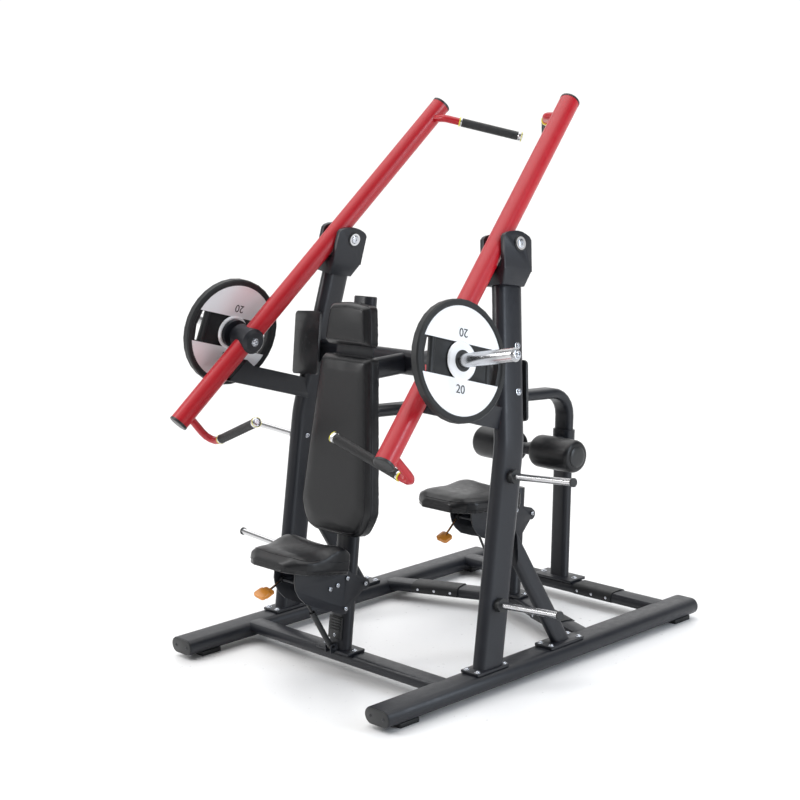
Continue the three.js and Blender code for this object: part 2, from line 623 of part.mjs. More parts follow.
// ---------------------------------------------------------------- back pads
// A pad is lofted through its thickness; the front face is smaller by the bevel.
function padFrom(outline, frame, from, to) {
  const shrink = (pts, by) => {
    const c = pts.reduce(([a, b], [x, y]) => [a + x / pts.length, b + y / pts.length], [0, 0]);
    const hx = Math.max(...pts.map(([x]) => Math.abs(x - c[0])));
    const hy = Math.max(...pts.map(([, y]) => Math.abs(y - c[1])));
    return pts.map(([x, y]) => [c[0] + (x - c[0]) * (1 - by / hx), c[1] + (y - c[1]) * (1 - by / hy)]);
  };
  const levels = [[0, 5], [0.08, 0], [1 - BACK_PAD.bevel / (to - from), 0], [0.92, BACK_PAD.bevel * 0.62], [1, BACK_PAD.bevel]];
  return loft(levels.map(([k, by]) => ({
    o: along(frame.o, frame.f, from + k * (to - from)), x: X, y: frame.m, pts: shrink(outline, by),
  })));
}
const rounded = (corners, steps = 3) => {
  const pts = [];
  corners.forEach(([x, y, r], i) => {
    const [px, py] = corners[(i + corners.length - 1) % corners.length];
    const [qx, qy] = corners[(i + 1) % corners.length];
    const a = new THREE.Vector2(px - x, py - y).normalize();
    const b = new THREE.Vector2(qx - x, qy - y).normalize();
    const half = Math.acos(a.dot(b)) / 2;
    const reach = Math.min(r / Math.tan(half), 0.45 * Math.hypot(px - x, py - y), 0.45 * Math.hypot(qx - x, qy - y));
    for (let k = 0; k <= steps; k++) {
      const t = k / steps;
      const wa = (1 - t) ** 2;
      const wb = t ** 2;
      pts.push([x + reach * (wa * a.x + wb * b.x), y + reach * (wa * a.y + wb * b.y)]);
    }
  });
  return pts;
};
const lowerPad = padFrom(rounded([
  [150, 440, 80], [200, 535, 70], [137, 1104, 20], [-137, 1104, 20], [-200, 535, 70], [-150, 440, 80],
]), front, MAST.t / 2 + 1, MAST.t / 2 + BACK_PAD.t);
add('lower_back_pad', lowerPad, 'pad');
const upperPad = padFrom(rounded([
  [130, 1136, 14], [110, 1290, 22], [0, 1300, 160], [-110, 1290, 22], [-130, 1136, 14],
]), front, MAST.t / 2 + 1, MAST.t / 2 + BACK_PAD.t);
add('upper_back_pad', upperPad, 'pad');

// ---------------------------------------------------------------- seats
const wheelR = 22;
function seatStation(prefix, frame) {
  const { originZ, pitch, half, padStart, padEnd, wing: wingH, wingAt, lever: paddleAt } = SEAT[prefix];
  const s0 = (originZ - DECK) / frame.m.z;
  const o = along(frame.o, frame.m, s0);
  const [c, s] = [Math.cos, Math.sin].map((fn) => fn(THREE.MathUtils.degToRad(pitch)));
  const f = V(0, -c, s);
  const w = V(0, s, c);
  const at = (x, a, b) => along(o, X, x, f, a, w, b);

  // Side plates, the pan that joins them, and the wheels that grip the mast.
  const outline = [
    [293, 36], [292, -7], [283, -34], [264, -60], [231, -85], [172, -102], [104, -116], [50, -130], [30, -125],
    [-7, -78], [-46, -30], [-56, -17], [-55, -2], [-44, 8], [26, 24], [40, 36],
  ];
  const sidePlate = (x) => prism(outline, at(x, 0, 0), f, w, 0, 6);
  const wheelAt = (along1, side) => along(o, frame.m, along1, frame.f, side * (MAST.t / 2 + wheelR + GAP));
  const wheel = (along1, side) => {
    const p = wheelAt(along1, side);
    return rod(along(p, X, -64), along(p, X, 64), 6, 12).add(rod(along(p, X, -55.7), along(p, X, 55.7), wheelR, 16));
  };
  const pan = block(at(0, 170, 30), X, f.clone().negate(), 122, 236, 0, 6);
  const pivotBoss = rod(at(-60, 262, -12), at(60, 262, -12), 6, 16);
  const carriage = union(
    sidePlate(-56), sidePlate(62), pan, wheel(16, 1), wheel(-98, 1), wheel(-20, -1), pivotBoss,
  );
  add(`${prefix}_carriage`, carriage, 'frame');

  // Saddle pad: raised wings at the rear, lower channel along the middle.
  const rows = 10;
  const across = 12;
  const edge = (a) => half - 66 * Math.max(0, (a - padEnd + 90) / 90) ** 2
    - 22 * Math.max(0, (padStart + 50 - a) / 50) ** 2;
  const top = (x, a) => {
    const k = Math.min(1, Math.abs(x) / half);
    const wing = wingH * Math.exp(-(((a - wingAt) / 75) ** 2)) * k ** 2;
    return 100 + wing + 4 * k ** 2 - 10 * Math.max(0, (a - padEnd + 60) / 60) ** 2;
  };
  const stations = [];
  for (let i = 0; i <= rows; i++) {
    const a = padStart + ((padEnd - padStart) * i) / rows;
    const end = i === 0 || i === rows;
    const hw = edge(a) - (end ? 14 : 0);
    const drop = end ? 18 : 0;
    const pts = [];
    for (let k = 0; k <= 4; k++) pts.push([-hw + 12 + ((2 * hw - 24) * k) / 4, 37]);
    pts.push([hw, 50]);
    for (let k = 0; k <= across; k++) {
      const x = hw * (1 - (2 * k) / across);
      const shoulder = 22 * Math.abs(1 - (2 * k) / across) ** 8;
      pts.push([x, top(x, a) - drop - shoulder]);
    }
    pts.push([-hw, 50]);
    stations.push({ o: at(0, a, 0), x: X, y: w, pts });
  }
  add(`${prefix}_seat_pad`, loft(stations), 'pad');

  // Height lever: rod hung on the pivot boss, with a flat paddle at its end.
  const paddle = basis(V(0.25, -0.35, 1), V(1, 0, 0));
  const lever = union(
    cut(rod(at(-50, 262, -12), at(-38, 262, -12), 12, 20), rod(at(-60, 262, -12), at(-30, 262, -12), 6 + GAP, 16)),
    rod(at(-44, 271, -18), at(-44, paddleAt[0] - 6, paddleAt[1] + 4), 4, 12),
    prism(roundRect(50, 46, 9, 3), at(-44, ...paddleAt), paddle.x, paddle.y, -4, 4),
  );
  add(`${prefix}_height_lever`, lever, 'amber');

  // Gas strut from the mast's foot up into the carriage.
  const foot = V(0, frame.o.y - 46, DECK + 23);
  const head = at(0, 214, -45);
  const dir = head.clone().sub(foot).normalize();
  const length = head.distanceTo(foot);
  const cylinder = cut(
    union(
      rod(along(foot, X, -9), along(foot, X, 9), 10, 20),
      rod(along(foot, dir, 4), along(foot, dir, 168), 11, 20),
    ),
    rod(along(foot, dir, 28), along(foot, dir, 200), 5 + GAP, 16),
    rod(along(foot, X, -40), along(foot, X, 40), 5 + GAP, 16),
  );
  add(`${prefix}_strut_cylinder`, cylinder, 'plastic');
  add(`${prefix}_strut_rod`, union(
    rod(along(foot, dir, 70), along(foot, dir, length - 6), 5, 16),
    rod(along(head, X, -8), along(head, X, 8), 9, 20),
  ), 'chrome');
}
seatStation('front', front);
seatStation('rear', rear);

export default group;
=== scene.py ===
"""Looks of the chest press and pulldown machine: camera, light, materials, upholstery and small hardware."""
import math

import bmesh
import bpy
from mathutils import Matrix, Vector


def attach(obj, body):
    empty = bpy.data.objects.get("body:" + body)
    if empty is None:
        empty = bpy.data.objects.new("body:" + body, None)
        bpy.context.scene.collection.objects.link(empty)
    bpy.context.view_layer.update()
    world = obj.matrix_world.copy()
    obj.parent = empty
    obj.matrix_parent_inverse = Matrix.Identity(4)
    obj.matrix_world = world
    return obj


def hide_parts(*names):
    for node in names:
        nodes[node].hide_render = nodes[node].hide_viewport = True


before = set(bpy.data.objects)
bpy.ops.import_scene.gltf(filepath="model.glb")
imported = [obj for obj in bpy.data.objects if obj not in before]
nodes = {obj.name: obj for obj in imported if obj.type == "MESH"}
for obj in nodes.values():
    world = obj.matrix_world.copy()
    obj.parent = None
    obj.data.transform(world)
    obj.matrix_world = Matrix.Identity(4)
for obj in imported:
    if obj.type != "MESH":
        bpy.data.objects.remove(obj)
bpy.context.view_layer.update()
scene = bpy.context.scene
MM = 0.001
X, Y, Z = Vector((1, 0, 0)), Vector((0, 1, 0)), Vector((0, 0, 1))


def V(x, y, z):
    return Vector((x, y, z))


def linked(name, data):
    """A new object in the scene."""
    obj = bpy.data.objects.new(name, data)
    scene.collection.objects.link(obj)
    return obj


def evaluated_mesh(obj):
    """A mesh of its own from what the object's curve or modifiers make."""
    return bpy.data.meshes.new_from_object(obj.evaluated_get(bpy.context.evaluated_depsgraph_get()))


# ---------------------------------------------------------------- camera
camera_data = bpy.data.cameras.new("camera")
camera_data.lens = 78.93
camera_data.sensor_width = 36
camera_data.clip_end = 200
camera = linked("camera", camera_data)
camera.matrix_world = Matrix((
    (0.66419, -0.10517, 0.74014, 4.908),
    (0.74575, 0.16197, -0.64622, -4.417),
    (-0.05192, 0.98117, 0.18601, 2.203),
    (0, 0, 0, 1),
))
scene.camera = camera


# ---------------------------------------------------------------- materials
def material(name, colour, rough, metal=0.0, coat=0.0, mottle=0.08, grain=900, depth=0.00006,
             pebble=0.0, specular=0.5, wear=0.05):
    """Principled finish whose colour, roughness and relief all vary over the surface."""
    mat = bpy.data.materials.new(name)
    mat.use_nodes = True
    tree = mat.node_tree
    shader = tree.nodes["Principled BSDF"]
    shader.inputs["Metallic"].default_value = metal
    shader.inputs["Coat Weight"].default_value = coat
    shader.inputs["Coat Roughness"].default_value = 0.12
    shader.inputs["Specular IOR Level"].default_value = specular
    where = tree.nodes.new("ShaderNodeTexCoord").outputs["Object"]

    def noise(scale, detail):
        node = tree.nodes.new("ShaderNodeTexNoise")
        node.inputs["Scale"].default_value = scale
        node.inputs["Detail"].default_value = detail
        tree.links.new(where, node.inputs["Vector"])
        return node.outputs["Fac"]

    def remap(value, low, high):
        node = tree.nodes.new("ShaderNodeMapRange")
        node.inputs["From Min"].default_value = 0.3
        node.inputs["From Max"].default_value = 0.7
        node.inputs["To Min"].default_value = low
        node.inputs["To Max"].default_value = high
        tree.links.new(value, node.inputs["Value"])
        return node.outputs["Result"]

    broad = noise(9, 3)
    tint = tree.nodes.new("ShaderNodeMix")
    tint.data_type = "RGBA"
    tint.inputs["A"].default_value = (*[c * (1 - mottle) for c in colour], 1)
    tint.inputs["B"].default_value = (*[min(1, c * (1 + mottle)) for c in colour], 1)
    tree.links.new(broad, tint.inputs["Factor"])
    tree.links.new(tint.outputs["Result"], shader.inputs["Base Color"])
    tree.links.new(remap(noise(45, 4), rough - wear, rough + wear), shader.inputs["Roughness"])

    height = noise(grain, 3)
    if pebble:
        cells = tree.nodes.new("ShaderNodeTexVoronoi")
        cells.feature = "DISTANCE_TO_EDGE"
        cells.inputs["Scale"].default_value = pebble
        tree.links.new(where, cells.inputs["Vector"])
        height = remap(cells.outputs["Distance"], 0, 1)
    bump = tree.nodes.new("ShaderNodeBump")
    bump.inputs["Strength"].default_value = 0.6
    bump.inputs["Distance"].default_value = depth
    tree.links.new(height, bump.inputs["Height"])
    tree.links.new(bump.outputs["Normal"], shader.inputs["Normal"])
    return mat


PAINT = material("charcoal_powder_coat", (0.0118, 0.0132, 0.0178), 0.38, specular=0.42, grain=1400,
                 depth=0.00008)
RED = material("red_gloss_paint", (0.45, 0.0055, 0.0145), 0.36, coat=0.12, grain=500, depth=0.00002,
               mottle=0.04)
RUBBER = material("black_rubber", (0.010, 0.011, 0.012), 0.50, specular=0.4, grain=1600, depth=0.00010)
LEATHER = material("black_leather", (0.0045, 0.0048, 0.0060), 0.36, pebble=520, depth=0.00022, specular=0.42)
PIPING = material("piping", (0.006, 0.006, 0.008), 0.48, grain=1200, specular=0.35)
CHROME = material("polished_chrome", (0.60, 0.60, 0.61), 0.23, metal=1, grain=300, depth=0.00001,
                  mottle=0.02, wear=0.02)
ZINC = material("bright_zinc", (0.55, 0.57, 0.61), 0.24, metal=1, grain=900, depth=0.00002)
SILVER = material("silver_plate_face", (0.90, 0.91, 0.93), 0.36, metal=0.25, grain=260, depth=0.00001,
                  mottle=0.015, wear=0.03)
GRIP = material("ribbed_rubber", (0.014, 0.014, 0.015), 0.50, grain=1800, depth=0.00008)
PLASTIC = material("black_plastic", (0.014, 0.015, 0.016), 0.38, grain=1100, depth=0.00006)
AMBER = material("amber_plastic", (0.66, 0.25, 0.030), 0.34, coat=0.3, grain=500, depth=0.00004)
YELLOW = material("yellow_ring", (0.78, 0.70, 0.05), 0.35, coat=0.3)
# Dark ink for the plate numbers and the rail cap screws; on the placards the same finish is painted shade,
# dark discs standing for the shade inside blind holes.
INK_AND_HOLE_SHADE = material("dark_ink_and_painted_hole_shade", (0.03, 0.032, 0.036), 0.45)
PLACARD = material("placard_face", (0.018, 0.019, 0.021), 0.34, coat=0.2, grain=900, depth=0.00004)

FINISHES = {
    "charcoal_paint": PAINT, "red_paint": RED, "ribbed_grip": GRIP, "upholstery": LEATHER,
    "black_rubber": RUBBER, "chrome_steel": CHROME, "black_plastic": PLASTIC, "amber_plastic": AMBER,
}
SLOT_OF = {finish.name: slot for slot, finish in FINISHES.items()}
SLOT_OF.update({
    PIPING.name: "upholstery", ZINC.name: "chrome_steel",
    SILVER.name: "chrome_steel", YELLOW.name: "amber_plastic", INK_AND_HOLE_SHADE.name: "black_plastic",
    PLACARD.name: "black_plastic",
})


# ---------------------------------------------------------------- finish of the CAD pieces
WELD = 0.00003      # metres; points closer than this are one
CREASE = 48         # degrees; sharper edges are rounded off
CAD_EDGE = 0.0016   # metres; rounding of the CAD edges


def cad_finish(name):
    """The material of a CAD piece, told from its name without the side."""
    stem = name.split("_", 1)[1] if name.split("_")[0] in ("right", "left") else name
    if stem == "arm":
        return RED
    if stem in ("pivot_pin", "loading_horn", "lower_peg", "upper_peg"):
        return CHROME
    if stem in ("front_foot", "rear_foot", "chevron_tread", "rear_tread", "bumper", "weight_plate"):
        return RUBBER
    if stem.endswith("placard"):
        return PLACARD
    if stem.endswith("height_lever"):
        return AMBER
    if "strut" in stem:
        return PLASTIC
    if stem.endswith("grip"):
        return GRIP
    if stem.endswith("pad") or stem == "thigh_roller":
        return LEATHER
    return PAINT


def bevelled(obj, width):
    """Rounds off the sharp edges by a width in metres."""
    edge = obj.modifiers.new("edge", "BEVEL")
    edge.width = width
    edge.segments = 2
    edge.limit_method = "ANGLE"
    edge.angle_limit = math.radians(CREASE)


def split_sharp(obj, angle):
    """Shades the edges over an angle in degrees as corners."""
    split = obj.modifiers.new("sharp", "EDGE_SPLIT")
    split.split_angle = math.radians(angle)


def outward(mesh, weld=0):
    """Welds points closer than a distance, if one is given, and turns every face outwards."""
    work = bmesh.new()
    work.from_mesh(mesh)
    if weld:
        bmesh.ops.remove_doubles(work, verts=work.verts, dist=weld)
    bmesh.ops.recalc_face_normals(work, faces=work.faces)
    work.to_mesh(mesh)
    work.free()


def smooth(obj):
    """Shades a faceted mesh as the curved and flat faces it stands for."""
    mesh = obj.data
    for name in ("custom_normal", "sharp_edge", "sharp_face"):
        if name in mesh.attributes:
            mesh.attributes.remove(mesh.attributes[name])
    for face in mesh.polygons:
        face.use_smooth = True
    weld = obj.modifiers.new("weld", "WELD")
    weld.merge_threshold = WELD
    split_sharp(obj, 38)


SOFT_EDGED = ("rail", "foot", "post", "brace", "clevis", "beam", "mast", "arch", "placard", "stop_arm",
              "bumper", "cross_tube", "carriage", "weight_plate")
for name, node in nodes.items():
    node.data.materials.clear()
    node.data.materials.append(cad_finish(name))
    smooth(node)
    if any(word in name for word in SOFT_EDGED):
        bevelled(node, CAD_EDGE)
        node.modifiers.move(2, 1)


# ---------------------------------------------------------------- helpers for added pieces
def basis(axis, side=None):
    """Three square directions, the last along the axis and the first near the side."""
    z = axis.normalized()
    x = side if side else (Y if abs(z.x) > 0.9 else X)
    x = (x - z * x.dot(z)).normalized()
    return x, z.cross(x), z


def around(x, y, r, n):
    """n steps of radius r round a centre, from x towards y."""
    return [x * r * math.cos(2 * math.pi * i / n) + y * r * math.sin(2 * math.pi * i / n) for i in range(n)]


class Shape:
    """Collects points and faces in millimetres, and builds them into a piece."""

    def __init__(self):
        self.points = []
        self.faces = []

    def ring(self, points):
        start = len(self.points)
        self.points += points
        return list(range(start, start + len(points)))

    def bridge(self, a, b):
        """Joins two rings of equal count by a band of faces."""
        n = len(a)
        self.faces += [(a[i], a[(i + 1) % n], b[(i + 1) % n], b[i]) for i in range(n)]

    def turned(self, o, axis, profile, n=28):
        """Profile is [distance along the axis, radius]; a zero radius closes it."""
        x, y, z = basis(axis)
        previous = None
        for d, r in profile:
            here = self.ring([o + z * d + step for step in around(x, y, max(r, 0.01), n)])
            if previous:
                self.bridge(previous, here)
            else:
                self.faces.append(tuple(reversed(here)))
            previous = here
        self.faces.append(tuple(previous))
        return self

    def bolt(self, o, axis, r=9, h=6, washer=13):
        """Socket button head on a washer."""
        return self.turned(o, axis, [
            (-1, washer), (1.2, washer), (1.8, washer - 0.8), (1.8, r), (h * 0.5, r),
            (h * 0.8, r * 0.86), (h, r * 0.58), (h, r * 0.46), (h * 0.55, r * 0.42), (h * 0.55, 0)], 20)

    def prism(self, outline, o, x, y, t):
        """Outline [[a, b]...] counter-clockwise seen against x cross y, pushed t along it."""
        z = x.cross(y).normalized()
        low = self.ring([o + x * a + y * b for a, b in outline])
        high = self.ring([o + x * a + y * b + z * t for a, b in outline])
        self.faces.append(tuple(reversed(low)))
        self.faces.append(tuple(high))
        self.bridge(low, high)
        return self

    def tube(self, path, r, n, closed=False):
        """Round tube along a path; a closed one is joined with the least twist."""
        count = len(path)
        rings = []
        side = None
        for i, p in enumerate(path):
            a = path[i - 1] if closed or i else p
            b = path[(i + 1) % count] if closed or i < count - 1 else p
            x, y, _ = basis(b - a, side)
            side = x
            rings.append(self.ring([p + step for step in around(x, y, r, n)]))
        for a, b in zip(rings, rings[1:]):
            self.bridge(a, b)
        if closed:
            last = self.points[rings[-1][0]]
            shift = min(range(n), key=lambda s: (last - self.points[rings[0][s]]).length)
            self.bridge(rings[-1], rings[0][shift:] + rings[0][:shift])
        else:
            self.faces.append(tuple(reversed(rings[0])))
            self.faces.append(tuple(rings[-1]))
        return self

    def build(self, name, finish, body, mirror=False, bevel=0, angle=38):
        """Makes the piece on a body; bevel is in millimetres, and mirror puts it on the other side."""
        mesh = bpy.data.meshes.new(name)
        flip = -1 if mirror else 1
        points = [(p.x * MM * flip, p.y * MM, p.z * MM) for p in self.points]
        faces = [tuple(reversed(f)) for f in self.faces] if mirror else self.faces
        mesh.from_pydata(points, [], faces)
        mesh.update()
        outward(mesh)
        mesh.materials.append(finish)
        obj = linked(name, mesh)
        for face in mesh.polygons:
            face.use_smooth = True
        if bevel:
            bevelled(obj, bevel * MM)
        split_sharp(obj, angle)
        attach(obj, body)
        return obj


def pair(name, finish, body, draw, bevel=0, angle=38):
    """The same piece on the right and mirrored on the left; body may hold the word SIDE."""
    made = []
    for side in ("right", "left"):
        shape = Shape()
        draw(shape)
        made.append(shape.build(f"{side}_{name}", finish, body.replace("SIDE", side), side == "left",
                                bevel, angle))
    return made


def rounded(w, h, r, n=5):
    """Outline of a w by h rectangle whose corners have radius r."""
    return [(sx * (w / 2 - r) + r * math.cos(math.radians(start + 90 * i / n)),
             sy * (h / 2 - r) + r * math.sin(math.radians(start + 90 * i / n)))
            for sx, sy, start in ((1, -1, -90), (1, 1, 0), (-1, 1, 90), (-1, -1, 180)) for i in range(n + 1)]


# ---------------------------------------------------------------- axes shared with the CAD
DECK = 80                                   # top of the base
RAIL = V(577.5, 813.4, 49)                  # middle of a base rail's rear end
ARM_LOW, ARM_HIGH = V(596, -737.5, 916), V(353, 480.5, 2046)
ARM_DIR = (ARM_HIGH - ARM_LOW).normalized()
PIVOT = V(455, 22, 1557)
PIN_DIR = V(0.98517, 0.04278, 0.16614).normalized()
PIN_DIR = (PIN_DIR - ARM_DIR * PIN_DIR.dot(ARM_DIR)).normalized()


HORN = ARM_LOW + ARM_DIR * 424              # where the loading horn leaves the arm
PLATE_HALF = 17                             # half the plate's thickness
PLATE_MID = HORN + PIN_DIR * (100.3 + PLATE_HALF)


# ---------------------------------------------------------------- base hardware
def rail_caps(s):
    """Flat-oval caps, 122 wide and 59 high."""
    half, r = 61, 29.5
    outline = [(k * (half - r) + r * math.cos(math.radians(a)), r * math.sin(math.radians(a)))
               for k, first in ((1, -90), (-1, 90)) for a in range(first, first + 181, 15)]
    for end in (-1, 1):
        s.prism(outline, V(RAIL.x, end * RAIL.y, RAIL.z), X * -end, Z, 3.4)


def rail_screws(s):
    head = [(-1, 6.5), (1.2, 6.5), (2.2, 4.5), (2.2, 2.4), (0.9, 2.2), (0.9, 0)]
    for end in (-1, 1):
        for x in (-34, 34):
            s.turned(V(RAIL.x + x, end * (RAIL.y + 3.2), RAIL.z), Y * end, head, 18)


pair("rail_end_caps", PLASTIC, "frame_body", rail_caps, bevel=1.2)
pair("rail_cap_screws", INK_AND_HOLE_SHADE, "frame_body", rail_screws)


def base_bolts(s):
    """Bolts on the foot plates of the posts, braces, arch and masts."""
    places = [(RAIL.x + x, y) for x in (-28, 28) for y in (-364, -234, 12, 158)]
    for x, y in [*places, (86, 698), (80, -493), (80, 408)]:
        s.bolt(V(x, y, DECK + 10.3), Z, 8, 7, 12)


pair("base_bolts", ZINC, "frame_body", base_bolts)


def tread_screws(s):
    """Three screws in the front of each tread, which stands 48 before its tube's middle."""
    head = [(-2, 6), (1.6, 6), (2.4, 4), (2.4, 0)]
    across = V(-0.322, -0.947, 0)
    for x in (253, 325, 398):
        s.turned(V(x, 425 - 175 / 514 * x, 60) + across * 48, across, head, 16)
    for x in (149, 226, 304):
        s.turned(V(x, 694 - 48, 60), -Y, head, 16)


pair("tread_screws", ZINC, "frame_body", tread_screws)


# ---------------------------------------------------------------- arms
def arm_caps(s):
    for o, out in ((ARM_LOW, -ARM_DIR), (ARM_HIGH, ARM_DIR)):
        s.turned(o, out, [(-4, 38.3), (3.5, 38.3), (5.5, 36.2), (6.5, 32), (6.5, 0)], 40)


pair("arm_end_caps", PLASTIC, "SIDE_arm_body", arm_caps)

GRIPS = {
    "lower_grip": (V(520, -602.5, 837), V(219, -645.5, 948)),
    "upper_grip": (V(240, 468.5, 1978), V(66, 646, 1905)),
}
for grip_name, (root, end) in GRIPS.items():
    run = end - root
    length = run.length

    def sleeve(s, root=root, run=run, length=length):
        """Rubber sleeve with a rib every 5 mm."""
        profile = [(12, 0), (12, 16.5)]
        for k in range(math.ceil((length - 22 - 12) / 5)):
            d = 12 + 5 * k
            profile += [(d, 16.6), (d + 0.9, 17.7), (d + 3.1, 17.7), (d + 4.0, 16.6)]
        s.turned(root, run, [*profile, (length - 17, 16.6), (length - 17, 0)], 32)

    def collars(s, root=root, run=run, length=length):
        s.turned(root, run, [(5, 0), (5, 17.6), (6, 18.4), (11, 18.4), (12, 17.6), (12, 0)], 32)
        s.turned(root, run, [(length + d, r) for d, r in (
            (-17, 0), (-17, 18.2), (-16, 19), (-3, 19), (0, 17), (2, 12), (2, 9), (0.6, 8), (0.6, 0))], 32)

    def rings(s, root=root, run=run, length=length):
        s.turned(root, run, [(0.6, 11.5), (0.6, 18.2), (1.4, 19.2), (4, 19.2), (5, 18.2), (5, 11.5)], 32)
        s.turned(root, run, [(length + d, r) for d, r in (
            (-4.2, 18), (-4.2, 19.7), (-1.8, 19.7), (-1.8, 17))], 32)

    sleeves = pair(f"{grip_name}_sleeve", GRIP, "SIDE_arm_body", sleeve, angle=60)
    for side, obj in zip(("right", "left"), sleeves):
        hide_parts(f"{side}_{grip_name}")
    pair(f"{grip_name}_collars", CHROME, "SIDE_arm_body", collars)
    pair(f"{grip_name}_rings", YELLOW, "SIDE_arm_body", rings)


def horn_fittings(s):
    s.bolt(HORN + PIN_DIR * 386.5, PIN_DIR, 10, 10, 16.5)
    s.bolt(HORN - PIN_DIR * 50, -PIN_DIR, 12, 8, 16)


pair("horn_bolts", ZINC, "SIDE_arm_body", horn_fittings)

# The horn's boss, up to 99.5 mm from the arm's middle, is painted.
for side, flip in (("right", 1), ("left", -1)):
    horn = nodes[f"{side}_loading_horn"].data
    horn.materials.append(PAINT)
    o = V(HORN.x * flip, HORN.y, HORN.z) * MM
    axis = V(PIN_DIR.x * flip, PIN_DIR.y, PIN_DIR.z)
    for face in horn.polygons:
        if (face.center - o).dot(axis) < 0.0995:
            face.material_index = 1


# Storage pegs: black for 29 mm at the post and for 8 mm at the end.
for name in ("right_lower_peg", "right_upper_peg", "left_lower_peg", "left_upper_peg"):
    peg = nodes[name].data
    peg.materials.append(PLASTIC)
    reach = [abs(v.co.x) for v in peg.vertices]
    low, high = min(reach) + 0.029, max(reach) - 0.008
    for face in peg.polygons:
        if abs(face.center.x) < low or abs(face.center.x) > high:
            face.material_index = 1


def pin_heads(s):
    for k in (1, -1):
        o = PIVOT + PIN_DIR * 65.5 * k
        s.turned(o, PIN_DIR * k, [
            (0, 17), (1.6, 17), (3.4, 14.5), (4.4, 9), (4.4, 6.2), (2.0, 5.6), (2.0, 0)], 28)


def pin_rings(s):
    for k in (1, -1):
        o = PIVOT + PIN_DIR * 60.2 * k
        s.turned(o, PIN_DIR * k, [(0, 0), (0, 29), (1.4, 29), (2.6, 27.5), (2.6, 0)], 32)


pair("pivot_pin_heads", ZINC, "frame_body", pin_heads)
pair("pivot_pin_rings", PLASTIC, "frame_body", pin_rings)

# ---------------------------------------------------------------- weight plates
PLATE_Y = (Y - PIN_DIR * PIN_DIR.y).normalized()
PLATE_Y.rotate(Matrix.Rotation(math.radians(-17.5), 3, PIN_DIR))
PLATE_Z = PIN_DIR.cross(PLATE_Y)


BAND = 61.5         # half the height of the dark window band
FACE_RADIUS = 188


def face_sheet(s):
    """Silver segments above and below the window band, joined round the hub, on both faces."""
    for out in (1, -1):
        o = PLATE_MID + PIN_DIR * out * PLATE_HALF
        u = PIN_DIR * out
        x, y = PLATE_Y, u.cross(PLATE_Y)

        def at(r, a, depth):
            return o + x * r * math.cos(a) + y * r * math.sin(a) - u * depth

        angles = [2 * math.pi * i / 72 for i in range(72)]
        loops = [s.ring([at(r, a, depth) for a in angles])
                 for r, depth in ((37, 1.5), (37, -0.8), (61, -0.8), (67.5, 4.2), (67.5, 6))]
        for a, b in zip(loops, loops[1:]):
            s.bridge(a, b)
        for sign in (1, -1):
            edge_in = math.asin(BAND / 68)
            edge_out = math.asin(BAND / FACE_RADIUS)
            n = 33
            inner, outer = [], []
            for k in range(n):
                a = edge_out + (math.pi - 2 * edge_out) * k / (n - 1)
                outer.append((FACE_RADIUS * math.cos(a), FACE_RADIUS * math.sin(a)))
                a = edge_in + (math.pi - 2 * edge_in) * k / (n - 1)
                inner.append((67 * math.cos(a), max(BAND, 67 * math.sin(a))))
            outline = outer + inner[::-1]
            low = s.ring([o + x * a * sign + y * b * sign - u * 6 for a, b in outline])
            high = s.ring([o + x * a * sign + y * b * sign - u * 4.2 for a, b in outline])
            s.bridge(low, high)
            for k in range(n - 1):
                s.faces.append((high[k], high[k + 1], high[2 * n - 2 - k], high[2 * n - 1 - k]))


pair("plate_face", SILVER, "SIDE_weight_body", face_sheet, angle=30)


def plate_bush(s):
    for out in (1, -1):
        o = PLATE_MID + PIN_DIR * out * PLATE_HALF
        s.turned(o, PIN_DIR * out, [(-2, 24.9), (-2, 37), (1.4, 37), (2.4, 35.6), (2.4, 27), (1, 24.9)], 40)


pair("plate_bush", PLASTIC, "SIDE_weight_body", plate_bush)


def numbers(side):
    """A plain 20 above and below the hub, each read from the rim."""
    flip = -1 if side == "left" else 1
    mirrored = Matrix.Scale(flip, 3, X)
    for out in (1, -1):
        u = mirrored @ (PIN_DIR * out)
        o = mirrored @ (PLATE_MID + PIN_DIR * out * 13.4)
        down = mirrored @ PLATE_Z
        for k in (1, -1):
            curve = bpy.data.curves.new("number", "FONT")
            curve.body = "20"
            curve.size = 0.042
            curve.align_x = "CENTER"
            curve.align_y = "CENTER"
            curve.extrude = 0.0004
            text = linked("number", curve)
            up = down * k
            x = up.cross(u)
            centre = o * MM - up * 0.098
            text.matrix_world = Matrix((
                (x.x, up.x, u.x, centre.x),
                (x.y, up.y, u.y, centre.y),
                (x.z, up.z, u.z, centre.z),
                (0, 0, 0, 1),
            ))
            bpy.context.view_layer.update()
            mesh = evaluated_mesh(text)
            mesh.transform(text.matrix_world)
            bpy.data.objects.remove(text)
            mesh.materials.clear()
            mesh.materials.append(INK_AND_HOLE_SHADE)
            label = f"{side}_plate_number_{'outer' if out > 0 else 'inner'}_{'low' if k > 0 else 'high'}"
            obj = linked(label, mesh)
            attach(obj, f"{side}_weight_body")


numbers("right")
numbers("left")


# ---------------------------------------------------------------- posts and mast hardware
def post_bolts(s):
    lean = V(0.985, 0, 0.17)
    s.bolt(V(549.8, -45.4, 1210.6), lean, 9, 9, 13)
    s.bolt(V(577.3, -75.7, 1052.2), lean, 9, 9, 13)
    s.bolt(V(545.2, -159.6, 771), -lean, 7, 7, 10)


pair("post_bolts", ZINC, "frame_body", post_bolts)

# The front mast's length, the way it faces and its foot.
MAST_UP = V(0, 0.17, 1).normalized()
MAST_OUT = V(0, -MAST_UP.z, MAST_UP.y)
MAST_FOOT = V(0, -493, DECK)


def mast_at(x, f, s):
    """A point x to the side, f before and s along the front mast's middle line."""
    return MAST_FOOT + X * x + MAST_OUT * f + MAST_UP * s


cover = Shape()
